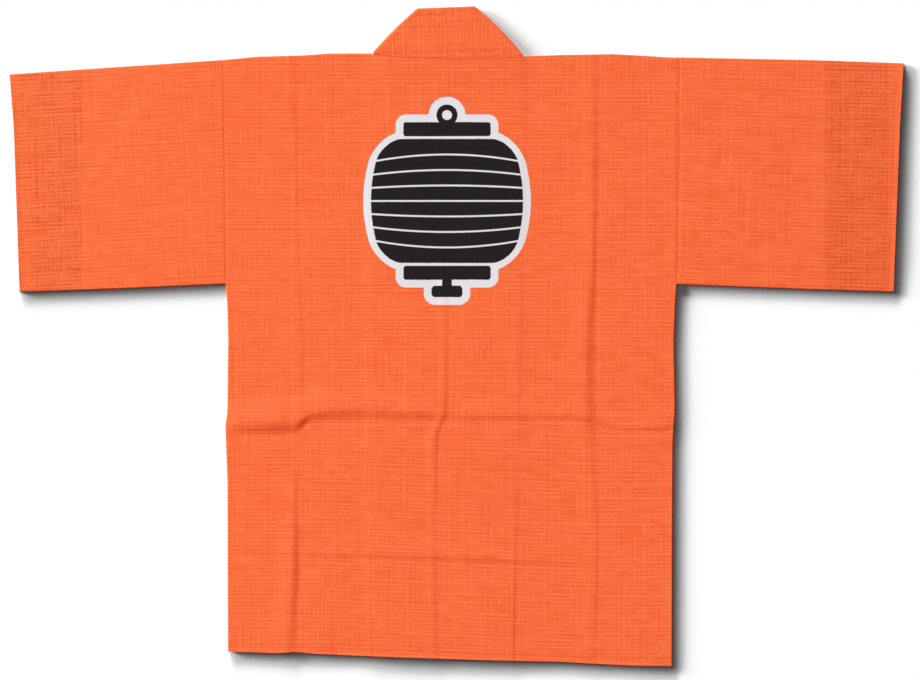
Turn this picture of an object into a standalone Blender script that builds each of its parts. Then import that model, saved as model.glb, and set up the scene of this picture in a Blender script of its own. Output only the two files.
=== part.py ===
"""Happi coat laid flat on its front, with its back uppermost.

The two fronts and the ends of the collar band lie on the ground. The back lies over
them, and each sleeve is a flattened tube, open at the cuff and at the armhole. The
collar is one long doubled band: it comes up one front, folds over at the neck, passes
behind the neck and folds down the other front.

X runs along the sleeves, towards the wearer's right. Y runs from the hem to the
collar, and Z is up. The origin is on the ground, under the middle of the coat.
Sizes are in millimetres; the meshes are made in metres.
"""

from collections import namedtuple
from math import ceil, cos, exp, pi, radians, sin

import bpy
import numpy as np
from mathutils import Vector

MM = 0.001

# Cloth, and how its layers lie on each other
CLOTH = 1.2                 # wall of one layer
COLLAR_CLOTH = 2.4          # the collar is doubled
SEAM_GAP = 0.3              # clearance at each seam
LAYER_GAP = 0.6             # air between a lower layer and the one above it

UNDER = CLOTH / 2                                   # middle of a layer on the ground
OVER = UNDER + CLOTH + LAYER_GAP                    # middle of the layer above it
BAND = COLLAR_CLOTH / 2                             # middle of the collar on the ground
OVER_BAND = COLLAR_CLOTH + SEAM_GAP + CLOTH / 2     # middle of the back over the collar
NECK = BAND + COLLAR_CLOTH + SEAM_GAP               # middle of the collar behind the neck
NECK_SEAM = NECK - 0.3                              # the back where the collar is sewn on

# A seam at the edge of the coat: each wall turns a quarter round to meet the other
EDGE_RADIUS = (OVER - UNDER - SEAM_GAP) / 2
EDGE_REACH = EDGE_RADIUS + CLOTH / 2
EDGE_FACETS = 3
SLEEVE_SEAM_REACH = EDGE_REACH - SEAM_GAP / 2       # where the edge stays flat instead

# A sleeve's fold and its lower seam turn half round
SLEEVE_RADIUS = (OVER - UNDER) / 2
SLEEVE_REACH = SLEEVE_RADIUS + CLOTH / 2
SLEEVE_SWELL = 0.8          # how far a sleeve's upper layer stands off at its middle

# The collar folds half round where it turns from the neck down each front
COLLAR_RADIUS = (NECK - BAND) / 2
COLLAR_REACH = COLLAR_RADIUS + COLLAR_CLOTH / 2
HALF_TURN_FACETS = 6

# Mesh spacing
WIDEST_CELL = 52.0
COLLAR_CELL = 60.0
NECK_SECTIONS = 6
SLEEVE_CELLS = 8
SLOPE_STEP = 0.05           # slopes are read across twice this length
BAND_SHARES = (0.0, 0.25, 0.5, 0.75, 1.0)
CREASE_LINES = (-9.0, -4.0, 0.0, 4.0, 9.0)
LOW_CREASE_LINES = (-6.0, 0.0, 6.0)

# A point of an outline, a row of the side seams, and a point of a pressed crease
At = namedtuple("At", "x y")
Sides = namedtuple("Sides", "y left right")
Crease = namedtuple("Crease", "x y rise")

# Sleeve seams above the armpit, side seams below it
ARMPIT = 74.0
ARMPIT_TURN = 6.0           # the side seam is turned from this far below the armpit
SIDES = (
    Sides(y=394.0, left=-332.0, right=317.0),      # shoulder
    Sides(y=180.0, left=-329.2, right=315.0),
    Sides(y=74.0, left=-328.0, right=312.4),       # armpit
    Sides(y=45.0, left=-325.8, right=310.6),
    Sides(y=-5.0, left=-324.4, right=308.6),
    Sides(y=-106.0, left=-325.6, right=310.4),
    Sides(y=-128.0, left=-328.4, right=308.4),     # waist crease
    Sides(y=-150.0, left=-327.6, right=307.2),
    Sides(y=-205.0, left=-325.6, right=306.8),
    Sides(y=-470.0, left=-324.6, right=305.8),     # hem
)

HEM = (
    At(x=-324.6, y=-447.7),
    At(x=-256.0, y=-450.0),
    At(x=-229.0, y=-448.2),                        # drawn up at the left crease
    At(x=-200.0, y=-451.0),
    At(x=-82.0, y=-456.2),
    At(x=36.0, y=-459.9),
    At(x=147.0, y=-462.2),
    At(x=203.0, y=-465.4),                         # let down at the right crease
    At(x=255.0, y=-468.0),
    At(x=305.8, y=-468.5),
)

SHOULDERS = {
    "left": (
        At(x=-332.0, y=392.3),
        At(x=-282.0, y=397.0),
        At(x=-222.0, y=398.6),
        At(x=-180.0, y=401.6),
        At(x=-120.2, y=401.6),
    ),
    "right": (
        At(x=95.9, y=397.5),
        At(x=147.0, y=399.4),
        At(x=223.0, y=400.8),
        At(x=306.0, y=395.9),
        At(x=317.0, y=396.0),
    ),
}

SLEEVES = {
    "left": {
        "top": (At(x=-634.8, y=371.8), At(x=-478.0, y=382.5), At(x=-332.0, y=392.3)),
        "bottom": (At(x=-620.8, y=62.8), At(x=-478.0, y=67.7), At(x=-328.0, y=74.4)),
        "cuff": (At(x=-634.8, y=371.8), At(x=-628.8, y=294.0), At(x=-620.8, y=62.8)),
    },
    "right": {
        "top": (At(x=634.8, y=387.6), At(x=502.0, y=392.3), At(x=317.0, y=396.0)),
        "bottom": (At(x=620.4, y=63.0), At(x=502.0, y=66.6), At(x=312.4, y=73.8)),
        "cuff": (At(x=634.8, y=387.6), At(x=629.6, y=300.0), At(x=620.4, y=63.0)),
    },
}

# The collar: each slanted fold runs from the neck seam up to the free edge, bulging a
# little, and its band runs from there to the hem, with a seam edge and a free edge
Fold = namedtuple("Fold", "neck top bulge")
Band = namedtuple("Band", "seam free")
FOLDS = {
    "left": Fold(neck=At(x=-120.2, y=401.6), top=At(x=-55.7, y=465.8), bulge=1.9),
    "right": Fold(neck=At(x=95.9, y=397.5), top=At(x=25.8, y=468.5), bulge=3.0),
}
BANDS_AT_HEM = {
    "left": Band(seam=At(x=-118.8, y=-455.0), free=At(x=-54.3, y=-457.0)),
    "right": Band(seam=At(x=83.6, y=-461.0), free=At(x=14.7, y=-459.0)),
}
NECK_BOW = 4.0              # how far the neck seam bows down at its middle
HEM_SETBACK = 1.5           # the lower layers end this far inside the back's hem
OUTWARD = {"left": -1, "right": 1}

# The back's cloth climbs onto a band, and up to the neck seam, over these lengths
BAND_RAMP = 14.0
NECK_RAMP = 20.0
NECK_CORNER = 5.0           # between a shoulder's turned edge and the raised neck seam
CREST = 1.0                 # each climb is over this far before the edge beneath it

# Creases pressed into the back where the coat was folded away
CREASE_WIDTH = 5.0
CREASE_FADE = 16.0          # a crease dies out this close to a seam
DOWN_CREASES = {
    "left": (
        Crease(x=-228.0, y=350.0, rise=0.3),
        Crease(x=-225.0, y=100.0, rise=0.4),
        Crease(x=-224.0, y=-100.0, rise=0.5),
        Crease(x=-229.0, y=-170.0, rise=1.2),
        Crease(x=-231.0, y=-300.0, rise=2.2),
        Crease(x=-230.0, y=-450.0, rise=2.4),
    ),
    "centre": (
        Crease(x=-13.7, y=40.0, rise=0.5),
        Crease(x=-13.7, y=-112.0, rise=1.0),
        Crease(x=-29.0, y=-126.0, rise=1.1),
        Crease(x=-29.0, y=-210.0, rise=0.9),
        Crease(x=-28.0, y=-300.0, rise=0.0),
    ),
    "right": (
        Crease(x=195.6, y=360.0, rise=0.6),
        Crease(x=194.6, y=100.0, rise=2.0),
        Crease(x=194.3, y=-110.0, rise=2.2),
        Crease(x=196.0, y=-156.0, rise=0.9),
        Crease(x=201.0, y=-222.0, rise=1.2),
        Crease(x=203.0, y=-466.0, rise=0.8),
    ),
}
ACROSS_CREASES = {
    "waist": (
        Crease(x=-328.0, y=-129.6, rise=2.4),
        Crease(x=-232.0, y=-131.5, rise=2.8),
        Crease(x=-208.0, y=-113.0, rise=3.0),
        Crease(x=-150.0, y=-112.5, rise=2.4),
        Crease(x=-14.0, y=-117.0, rise=1.4),
        Crease(x=-4.0, y=-117.0, rise=0.5),
        Crease(x=10.0, y=-117.0, rise=1.4),
        Crease(x=192.0, y=-117.0, rise=1.3),
        Crease(x=212.0, y=-131.0, rise=0.5),
        Crease(x=277.0, y=-134.0, rise=1.3),
        Crease(x=309.0, y=-130.0, rise=1.5),
    ),
    "low": (
        Crease(x=-222.0, y=-315.0, rise=0.4),
        Crease(x=-100.0, y=-315.5, rise=0.8),
        Crease(x=-9.0, y=-317.0, rise=0.8),
        Crease(x=80.0, y=-318.0, rise=0.6),
        Crease(x=190.0, y=-320.0, rise=0.0),
    ),
}

CLOTH_COLOUR = (0.92, 0.165, 0.053, 1.0)
CLOTH_ROUGHNESS = 0.9


# --------------------------------------------------------------------------- lines

def read(rows, key, column, value):
    """The column of a table where its key column has this value, between its rows."""
    ordered = sorted(rows, key=lambda row: getattr(row, key))
    keys = [getattr(row, key) for row in ordered]
    return float(np.interp(value, keys, [getattr(row, column) for row in ordered]))


def across(rows):
    """The line y(x) of a table of points that runs across the coat."""
    return lambda x: read(rows, "x", "y", x)


def down(rows, column="x"):
    """The line x(y) of a table of points that runs down the coat."""
    return lambda y: read(rows, "y", column, y)


def level_line(height):
    """The line y(x) that stays at one height."""
    return lambda x: height


def shifted(line, offset):
    """The same line moved over."""
    return lambda place: line(place) + offset


def blended(first, second, share):
    """The line this share of the way from one line to another."""
    return lambda place: first(place) * (1 - share) + second(place) * share


def filled(lines, spacing=WIDEST_CELL, place=0.0):
    """The same lines in order, with more between any two further apart than spacing."""
    result = [lines[0]]
    for first, second in zip(lines, lines[1:]):
        count = max(1, ceil(abs(second(place) - first(place)) / spacing))
        result += [blended(first, second, (step + 1) / count) for step in range(count)]
    return result


def crossing(column, row):
    """Where a line x(y) meets a line y(x)."""
    x = column(0.0)
    for _ in range(4):
        y = row(x)
        x = column(y)
    return x, y


def rise(start, end, value):
    """A smooth step from 0 at start to 1 at end, which may run either way."""
    share = min(1.0, max(0.0, (value - start) / (end - start)))
    return share * share * (3 - 2 * share)


# --------------------------------------------------------------------------- solids

def make_object(name, vertices, faces, parent):
    """A closed solid with its own cloth material, its points given in millimetres."""
    mesh = bpy.data.meshes.new(name)
    mesh.from_pydata([tuple(point * MM) for point in vertices], [], faces)
    mesh.validate()
    mesh.shade_smooth()
    mesh.set_sharp_from_angle(angle=radians(50))
    piece = bpy.data.objects.new(name, mesh)
    bpy.context.scene.collection.objects.link(piece)
    piece.parent = parent
    material = bpy.data.materials.new(name + "_cloth")
    material.use_nodes = True
    finish = material.node_tree.nodes["Principled BSDF"]
    finish.inputs["Base Color"].default_value = CLOTH_COLOUR
    finish.inputs["Roughness"].default_value = CLOTH_ROUGHNESS
    finish.inputs["Metallic"].default_value = 0.0
    mesh.materials.append(material)
    return piece


def wall_from_grid(name, grid, parent):
    """A wall round a grid of (middle, normal) pairs: columns run in X, rows in Y."""
    columns = len(grid)
    rows = len(grid[0])
    cells = [pair for column in grid for pair in column]
    vertices = [middle + normal * (CLOTH / 2) for middle, normal in cells]
    vertices += [middle - normal * (CLOTH / 2) for middle, normal in cells]
    under = columns * rows

    def upper(column, row):
        return column * rows + row

    faces = []
    for column in range(columns - 1):
        for row in range(rows - 1):
            corners = (upper(column, row), upper(column + 1, row),
                       upper(column + 1, row + 1), upper(column, row + 1))
            faces.append(corners)
            faces.append(tuple(corner + under for corner in reversed(corners)))
    rim = [upper(column, 0) for column in range(columns)]
    rim += [upper(columns - 1, row) for row in range(1, rows)]
    rim += [upper(column, rows - 1) for column in range(columns - 2, -1, -1)]
    rim += [upper(0, row) for row in range(rows - 2, 0, -1)]
    for corner, following in zip(rim, rim[1:] + rim[:1]):
        faces.append((corner, corner + under, following + under, following))
    return make_object(name, vertices, faces, parent)


def bridge(rings, first_vertex=0, inward=False):
    """Faces between neighbouring closed rings of equal length, numbered in order."""
    count = len(rings[0])
    faces = []
    for ring in range(len(rings) - 1):
        for point in range(count):
            following = (point + 1) % count
            face = (first_vertex + ring * count + point,
                    first_vertex + ring * count + following,
                    first_vertex + (ring + 1) * count + following,
                    first_vertex + (ring + 1) * count + point)
            faces.append(tuple(reversed(face)) if inward else face)
    return faces


# --------------------------------------------------------------------------- body

def slope_normal(level, x, y):
    """The upward normal of a surface whose height is level(x, y)."""
    step = SLOPE_STEP
    slope_x = (level(x + step, y) - level(x - step, y)) / (2 * step)
    slope_y = (level(x, y + step) - level(x, y - step)) / (2 * step)
    return Vector((-slope_x, -slope_y, 1.0)).normalized()


def edge_lane(share, turned, flat_reach):
    """Reach, drop and tilt of a point this share of the way round a panel's edge."""
    if not turned:
        return flat_reach * share, 0.0, 0.0
    angle = share * pi / 2
    return EDGE_RADIUS * sin(angle), EDGE_RADIUS * (1 - cos(angle)), angle


def panel_grid(columns, rows, level, edges, turn):
    """Middles and normals of a panel whose outer edges may turn towards another.

    columns and rows are the lines of its flat part. edges names the sides that carry
    on past them to the outline, each with a test of whether the edge is turned at a
    place, and its reach where it lies flat. turn is -1 for edges that go down to meet
    a lower panel and 1 for edges that go up to meet an upper one.
    """
    shares = [(facet + 1) / EDGE_FACETS for facet in range(EDGE_FACETS)]
    lanes_x = [(line, "", 0.0) for line in columns]
    if "left" in edges:
        lanes_x = [(columns[0], "left", share) for share in reversed(shares)] + lanes_x
    if "right" in edges:
        lanes_x += [(columns[-1], "right", share) for share in shares]
    lanes_y = [(line, "", 0.0) for line in rows]
    if "top" in edges:
        lanes_y += [(rows[-1], "top", share) for share in shares]

    outward = {"left": Vector((-1, 0, 0)), "right": Vector((1, 0, 0)), "top": Vector((0, 1, 0))}
    grid = []
    for column, side_x, share_x in lanes_x:
        line_of_points = []
        for row, side_y, share_y in lanes_y:
            x, y = crossing(column, row)
            middle = Vector((x, y, level(x, y)))
            normal = slope_normal(level, x, y)
            for side, share, place in ((side_x, share_x, y), (side_y, share_y, x)):
                if not side:
                    continue
                turned, flat_reach = edges[side]
                reach, drop, tilt = edge_lane(share, turned(place), flat_reach)
                middle += outward[side] * reach + Vector((0, 0, turn * drop))
                if tilt:
                    normal = outward[side] * (-turn * sin(tilt)) + Vector((0, 0, cos(tilt)))
            line_of_points.append((middle, normal))
        grid.append(line_of_points)
    return grid


def neck_seam(x):
    """Height y of the collar's sewn edge behind the neck."""
    left, right = FOLDS["left"].neck, FOLDS["right"].neck
    setback = COLLAR_REACH / 2 ** 0.5
    run = right.x - left.x - 2 * setback
    share = min(1.0, max(0.0, (x - left.x - setback) / run))
    chord = left.y * (1 - share) + right.y * share - setback
    return chord - NECK_BOW * 4 * share * (1 - share)


def top_edge(x):
    """The back's upper outline: shoulder, neck, shoulder."""
    for side, fold in FOLDS.items():
        if (x - fold.neck.x) * OUTWARD[side] > NECK_CORNER / 2:
            return across(SHOULDERS[side])(x)
    return neck_seam(x) - SEAM_GAP


def band_edge(side, edge):
    """The line down one edge of a collar band: its seam or its free edge."""
    head = FOLDS[side].neck if edge == "seam" else FOLDS[side].top
    return down((head, getattr(BANDS_AT_HEM[side], edge)))


def back_level(x, y):
    """How high the middle of the back's cloth lies, over what is below it."""
    level = OVER
    near_neck = rise(neck_seam(x) - NECK_RAMP, neck_seam(x) - NECK_CORNER / 2, y)
    inside = 1.0
    for side, outward in OUTWARD.items():
        seam = band_edge(side, "seam")(y)
        free = band_edge(side, "free")(y)
        climb = min(rise(seam + outward * BAND_RAMP, seam + outward * CREST, x),
                    rise(free - outward * BAND_RAMP, free - outward * CREST, x))
        level += (OVER_BAND - OVER) * climb
        corner = FOLDS[side].neck.x
        near_neck *= rise(corner + outward * NECK_CORNER, corner + outward * CREST, x)
        side_seam = down(SIDES, side)(y)
        inside *= rise(side_seam, side_seam - outward * CREASE_FADE, x)
    level += (NECK_SEAM - level) * near_neck
    for crease in DOWN_CREASES.values():
        height = read(crease, "y", "rise", y)
        level += height * exp(-((x - read(crease, "y", "x", y)) / CREASE_WIDTH) ** 2)
    for crease in ACROSS_CREASES.values():
        height = read(crease, "x", "rise", x) * inside
        level += height * exp(-((y - read(crease, "x", "y", x)) / CREASE_WIDTH) ** 2)
    return level


def below_armpit(y):
    """Whether a panel's side is a side seam there, and not a sleeve seam."""
    return y < ARMPIT - ARMPIT_TURN / 2


def on_shoulder(x):
    """Whether the back's top is a shoulder there, and not the neck."""
    left = FOLDS["left"].neck.x - NECK_CORNER
    right = FOLDS["right"].neck.x + NECK_CORNER
    return x <= left or x >= right


def back_columns():
    """The back's lines down: its sides, its creases, and the collar's edges beneath it."""
    left_seam, left_free = band_edge("left", "seam"), band_edge("left", "free")
    right_seam, right_free = band_edge("right", "seam"), band_edge("right", "free")
    outside_seam = (BAND_RAMP, NECK_CORNER, CREST, -2 * CREST)
    inside_free = (0.0, BAND_RAMP / 2, BAND_RAMP)
    lines = [shifted(down(SIDES, "left"), EDGE_REACH)]
    lines += [shifted(down(DOWN_CREASES["left"]), offset) for offset in CREASE_LINES]
    lines += [shifted(left_seam, -offset) for offset in outside_seam]
    lines += [shifted(left_free, offset) for offset in inside_free]
    lines += [shifted(down(DOWN_CREASES["centre"]), offset) for offset in CREASE_LINES]
    lines += [shifted(right_free, -offset) for offset in reversed(inside_free)]
    lines += [shifted(right_seam, offset) for offset in reversed(outside_seam)]
    lines += [shifted(down(DOWN_CREASES["right"]), offset) for offset in CREASE_LINES]
    lines += [shifted(down(SIDES, "right"), -EDGE_REACH)]
    return filled(lines)


def back_rows():
    """The back's lines across: hem, creases, armpits, and the climb to the neck."""
    below_top = (NECK_RAMP, NECK_RAMP / 2, NECK_CORNER / 2, 0.0)
    lines = [across(HEM)]
    lines += [shifted(across(ACROSS_CREASES["low"]), offset) for offset in LOW_CREASE_LINES]
    lines += [shifted(across(ACROSS_CREASES["waist"]), offset) for offset in CREASE_LINES]
    lines += [level_line(ARMPIT - ARMPIT_TURN), level_line(ARMPIT)]
    lines += [shifted(top_edge, -EDGE_REACH - offset) for offset in below_top]
    return filled(lines)


def make_back(parent):
    """The back lies over the fronts and the collar's bands."""
    edges = {
        "left": (below_armpit, SLEEVE_SEAM_REACH),
        "right": (below_armpit, SLEEVE_SEAM_REACH),
        "top": (on_shoulder, EDGE_REACH),
    }
    grid = panel_grid(back_columns(), back_rows(), back_level, edges, turn=-1)
    return wall_from_grid("back", grid, parent)


def make_front(side, parent):
    """A front lies flat on the ground, from its side seam to the collar's band."""
    outward = OUTWARD[side]
    columns = [shifted(band_edge(side, "seam"), outward * SEAM_GAP),
               shifted(down(SIDES, side), -outward * EDGE_REACH)]
    if side == "left":
        columns.reverse()
    rows = [
        shifted(across(HEM), HEM_SETBACK),
        level_line(ARMPIT - ARMPIT_TURN),
        level_line(ARMPIT),
        shifted(across(SHOULDERS[side]), -EDGE_REACH),
    ]
    edges = {
        side: (below_armpit, SLEEVE_SEAM_REACH),
        "top": (lambda x: True, EDGE_REACH),
    }
    grid = panel_grid(filled(columns), filled(rows), lambda x, y: UNDER, edges, turn=1)
    return wall_from_grid("front_" + side, grid, parent)


# --------------------------------------------------------------------------- sleeves

def sleeve_ring(station, share, top, bottom):
    """Middles and normals once round a sleeve: over, round the seam, under, round the fold."""
    fold = shifted(top, -SLEEVE_REACH)
    seam = shifted(bottom, SLEEVE_REACH)
    upper = []
    lower = []
    for cell in range(SLEEVE_CELLS + 1):
        fall = cell / SLEEVE_CELLS
        x, y = crossing(station, blended(fold, seam, fall))
        swell = SLEEVE_SWELL * sin(pi * fall) * (1 - share ** 4)
        upper.append((Vector((x, y, OVER + swell)), Vector((0, 0, 1))))
        lower.append((Vector((x, y, UNDER)), Vector((0, 0, -1))))
    lower.reverse()
    return upper + sleeve_turn(station, seam, 1) + lower + sleeve_turn(station, fold, -1)


def sleeve_turn(station, axis, way):
    """The half turn between the layers, without its first and last points."""
    x, y = crossing(station, axis)
    centre = Vector((x, y, (OVER + UNDER) / 2))
    points = []
    for facet in range(1, HALF_TURN_FACETS):
        angle = pi * facet / HALF_TURN_FACETS
        normal = Vector((0, -sin(angle), cos(angle))) * way
        points.append((centre + normal * SLEEVE_RADIUS, normal))
    return points


def make_sleeve(side, parent):
    """A sleeve is a flattened tube, open at its cuff and its armhole."""
    shape = SLEEVES[side]
    top = across(shape["top"])
    bottom = across(shape["bottom"])
    armhole = shifted(down(SIDES, side), OUTWARD[side] * SEAM_GAP / 2)
    stations = filled([down(shape["cuff"]), armhole], place=ARMPIT)
    rings = []
    for index, station in enumerate(stations):
        rings.append(sleeve_ring(station, index / (len(stations) - 1), top, bottom))
    if side == "right":
        rings.reverse()

    outer = [middle + normal * (CLOTH / 2) for ring in rings for middle, normal in ring]
    inner = [middle - normal * (CLOTH / 2) for ring in rings for middle, normal in ring]
    count = len(rings[0])
    last = (len(rings) - 1) * count
    faces = bridge(rings)
    faces += bridge(rings, first_vertex=len(outer), inward=True)
    for point in range(count):
        following = (point + 1) % count
        faces.append((point, len(outer) + point, len(outer) + following, following))
        faces.append((last + following, len(outer) + last + following,
                      len(outer) + last + point, last + point))
    return make_object("sleeve_" + side, outer + inner, faces, parent)


# --------------------------------------------------------------------------- collar

def fold_axis(side, share):
    """A point of the axis a slanted fold turns about, and the fold's way out.

    share runs from 0 at the seam edge to 1 at the free edge.
    """
    fold = FOLDS[side]
    start = Vector((fold.neck.x, fold.neck.y, 0))
    run = Vector((fold.top.x, fold.top.y, 0)) - start
    outward = Vector((run.y, -run.x, 0)).normalized() * OUTWARD[side]
    bulge = fold.bulge * 4 * share * (1 - share)
    return start + run * share + outward * (bulge - COLLAR_REACH), outward


def collar_ring(line, normal):
    """One closed section of the band: over, round its free edge, back under."""
    half = COLLAR_CLOTH / 2
    across_band = (line[-1] - line[0]).normalized()
    last = line[-1] - across_band * half
    middles = line[:-1] + [last]
    ring = [middle + normal * half for middle in middles]
    for angle in (45, 0, -45):
        turned = normal * sin(radians(angle)) + across_band * cos(radians(angle))
        ring.append(last + turned * half)
    ring += [middle - normal * half for middle in reversed(middles)]
    return ring


def band_rings(side):
    """The sections of one front's band, from the hem up to the start of its fold."""
    hem = BANDS_AT_HEM[side]
    count = round((FOLDS[side].neck.y - hem.seam.y) / COLLAR_CELL)
    rings = []
    for section in range(count):
        climb = section / count
        line = []
        for share in BAND_SHARES:
            x = hem.seam.x * (1 - share) + hem.free.x * share
            foot = Vector((x, across(HEM)(x) + HEM_SETBACK, 0))
            head = fold_axis(side, share)[0]
            line.append(foot * (1 - climb) + head * climb + Vector((0, 0, BAND)))
        rings.append(collar_ring(line, Vector((0, 0, -1))))
    return rings


def fold_rings(side):
    """The sections of the half turn at one slant, from the ground up to the neck."""
    centre = Vector((0, 0, (BAND + NECK) / 2))
    rings = []
    for facet in range(HALF_TURN_FACETS + 1):
        angle = pi * facet / HALF_TURN_FACETS
        line = []
        for share in BAND_SHARES:
            axis, outward = fold_axis(side, share)
            normal = outward * sin(angle) + Vector((0, 0, -cos(angle)))
            line.append(axis + centre + normal * COLLAR_RADIUS)
        rings.append(collar_ring(line, normal))
    return rings


def neck_rings():
    """The sections behind the neck, between the two folds."""
    rings = []
    for section in range(1, NECK_SECTIONS):
        way = section / NECK_SECTIONS
        line = []
        for share in BAND_SHARES:
            start = fold_axis("left", share)[0]
            end = fold_axis("right", share)[0]
            bow = NECK_BOW * 4 * way * (1 - way) * (1 - share)
            line.append(start * (1 - way) + end * way + Vector((0, -bow, NECK)))
        rings.append(collar_ring(line, Vector((0, 0, 1))))
    return rings


def make_collar(parent):
    """The collar is one doubled band, from one hem round the neck to the other."""
    rings = band_rings("left") + fold_rings("left") + neck_rings()
    rings += list(reversed(fold_rings("right"))) + list(reversed(band_rings("right")))
    count = len(rings[0])
    vertices = [point for ring in rings for point in ring]
    faces = bridge(rings, inward=True)
    faces.append(tuple(range(count)))
    faces.append(tuple(reversed(range(len(vertices) - count, len(vertices)))))
    return make_object("collar", vertices, faces, parent)


# --------------------------------------------------------------------------- build

for item in list(bpy.data.objects):
    bpy.data.objects.remove(item, do_unlink=True)

coat = bpy.data.objects.new("happi_coat", None)
bpy.context.scene.collection.objects.link(coat)

make_back(coat)
make_front("left", coat)
make_front("right", coat)
make_sleeve("left", coat)
make_sleeve("right", coat)
make_collar(coat)
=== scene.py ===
from collections import namedtuple
from functools import partialmethod
from math import cos, pi, radians, sin, sqrt

import bpy
import numpy as np
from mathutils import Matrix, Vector


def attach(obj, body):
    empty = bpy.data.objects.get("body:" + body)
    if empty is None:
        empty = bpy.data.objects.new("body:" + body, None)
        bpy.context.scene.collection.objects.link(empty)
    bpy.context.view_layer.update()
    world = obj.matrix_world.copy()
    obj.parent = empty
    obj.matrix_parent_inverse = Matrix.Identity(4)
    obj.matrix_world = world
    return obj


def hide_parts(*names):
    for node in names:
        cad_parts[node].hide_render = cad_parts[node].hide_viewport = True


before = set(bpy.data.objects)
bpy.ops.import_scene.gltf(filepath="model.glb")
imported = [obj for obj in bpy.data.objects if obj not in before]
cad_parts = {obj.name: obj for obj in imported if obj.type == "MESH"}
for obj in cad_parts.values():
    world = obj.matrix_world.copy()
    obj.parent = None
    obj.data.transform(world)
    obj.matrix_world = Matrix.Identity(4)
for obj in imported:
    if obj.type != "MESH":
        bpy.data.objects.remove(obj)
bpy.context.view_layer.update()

# -------------------- table, lamps, camera
# The coat lies face down on a plain pale table. Broad lamps at its upper left light
# the cloth, and low ones light the table alone and draw out the coat's soft shadow.

MM = 0.001
scene = bpy.context.scene
scene.view_settings.view_transform = "Standard"

TABLE_REACH = 6.0
TABLE_LEVEL = -0.1 * MM
TABLE_COLOUR = (0.93, 0.93, 0.93, 1.0)


def placed(name, data):
    """A new object in the scene that shows this data."""
    made = bpy.data.objects.new(name, data)
    scene.collection.objects.link(made)
    return made


def plain_material(name, roughness, specular):
    """A material of one plain finish, and that finish's node."""
    material = bpy.data.materials.new(name)
    material.use_nodes = True
    finish = material.node_tree.nodes["Principled BSDF"]
    finish.inputs["Roughness"].default_value = roughness
    finish.inputs["Specular IOR Level"].default_value = specular
    return material, finish


table_mesh = bpy.data.meshes.new("table_top")
table_mesh.from_pydata([(x * TABLE_REACH, y * TABLE_REACH, TABLE_LEVEL)
                        for x, y in ((-1, -1), (1, -1), (1, 1), (-1, 1))],
                       [], [(0, 1, 2, 3)])
table_paint, paint = plain_material("table_paint", roughness=0.95, specular=0.0)
paint.inputs["Base Color"].default_value = TABLE_COLOUR
table_mesh.materials.append(table_paint)
table_top = placed("table_top", table_mesh)

# Each lamp's name, its bearing, height and spread in degrees, its colour, which is what
# it adds to a level surface (1 in all shows white as white), and what it lights. The
# cloth's high lamp is warm, as orange cloth throws its own colour into its creases.
LAMPS = (
    ("cloth_key", 135, 22, 14, (0.194, 0.628, 0.763), "cloth"),
    ("cloth_fill", 135, 64, 60, (0.725, 0.241, 0.111), "cloth"),
    ("table_skim_1", 103, 7.6, 7, (0.076,) * 3, "table"),
    ("table_skim_2", 110, 6.8, 5.5, (0.177,) * 3, "table"),
    ("table_skim_3", 123.5, 7.7, 4, (0.216,) * 3, "table"),
    ("table_skim_4", 148, 7.5, 4.4, (0.204,) * 3, "table"),
    ("table_skim_5", 160, 6.2, 8, (0.238,) * 3, "table"),
    ("table_skim_6", 168, 8.6, 8, (0.089,) * 3, "table"),
    ("table_high", 135, 50, 30, (0.04,) * 3, "table"),
)
SIDE_LAMP_PLACE = (-1.9, 0.35, 1.0)
SIDE_LAMP_POWER = 11.0
SIDE_LAMP_SIZE = 0.9
SIDE_LAMP_COLOUR = (0.6, 1.0, 1.0)
ROOM_LIGHT = 0.05           # what the room gives,
ROOM_LOOK = 0.95            # and how bright it looks past the table
VIEW_WIDTH = 1306.4 * MM
VIEW_CENTRE = (4.757 * MM, -5.325 * MM)
CAMERA_HEIGHT = 2.0

table_alone = bpy.data.collections.new("table_alone")
table_alone.objects.link(table_top)
all_but_table = bpy.data.collections.new("all_but_table")
all_but_table.objects.link(table_top)
all_but_table.collection_objects[0].light_linking.link_state = "EXCLUDE"
LIT = {"table": table_alone, "cloth": all_but_table}

for name, bearing, height, spread, colour, lights in LAMPS:
    light = bpy.data.lights.new(name, "SUN")
    light.color = [part / max(colour) for part in colour]
    light.energy = max(colour) * pi / sin(radians(height))
    light.angle = radians(spread)
    source = placed(name, light)
    bearing, height = radians(bearing), radians(height)
    way = Vector((cos(bearing) * cos(height), sin(bearing) * cos(height), sin(height)))
    source.rotation_euler = way.to_track_quat("Z", "Y").to_euler()
    source.light_linking.receiver_collection = LIT[lights]

side_light = bpy.data.lights.new("cloth_side", "AREA")
side_light.energy = SIDE_LAMP_POWER
side_light.size = SIDE_LAMP_SIZE
side_light.color = SIDE_LAMP_COLOUR
side_lamp = placed("cloth_side", side_light)
side_lamp.location = SIDE_LAMP_PLACE
side_lamp.rotation_euler = Vector(SIDE_LAMP_PLACE).to_track_quat("Z", "Y").to_euler()
side_lamp.light_linking.receiver_collection = LIT["cloth"]

room = bpy.data.worlds.new("room")
room.use_nodes = True
room_air = room.node_tree.nodes["Background"]
room_air.inputs["Color"].default_value = (1.0, 1.0, 1.0, 1.0)
seen = room.node_tree.nodes.new("ShaderNodeLightPath")
backdrop = room.node_tree.nodes.new("ShaderNodeMapRange")
backdrop.inputs["To Min"].default_value = ROOM_LIGHT
backdrop.inputs["To Max"].default_value = ROOM_LOOK
room.node_tree.links.new(seen.outputs["Is Camera Ray"], backdrop.inputs["Value"])
room.node_tree.links.new(backdrop.outputs["Result"], room_air.inputs["Strength"])
scene.world = room

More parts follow.
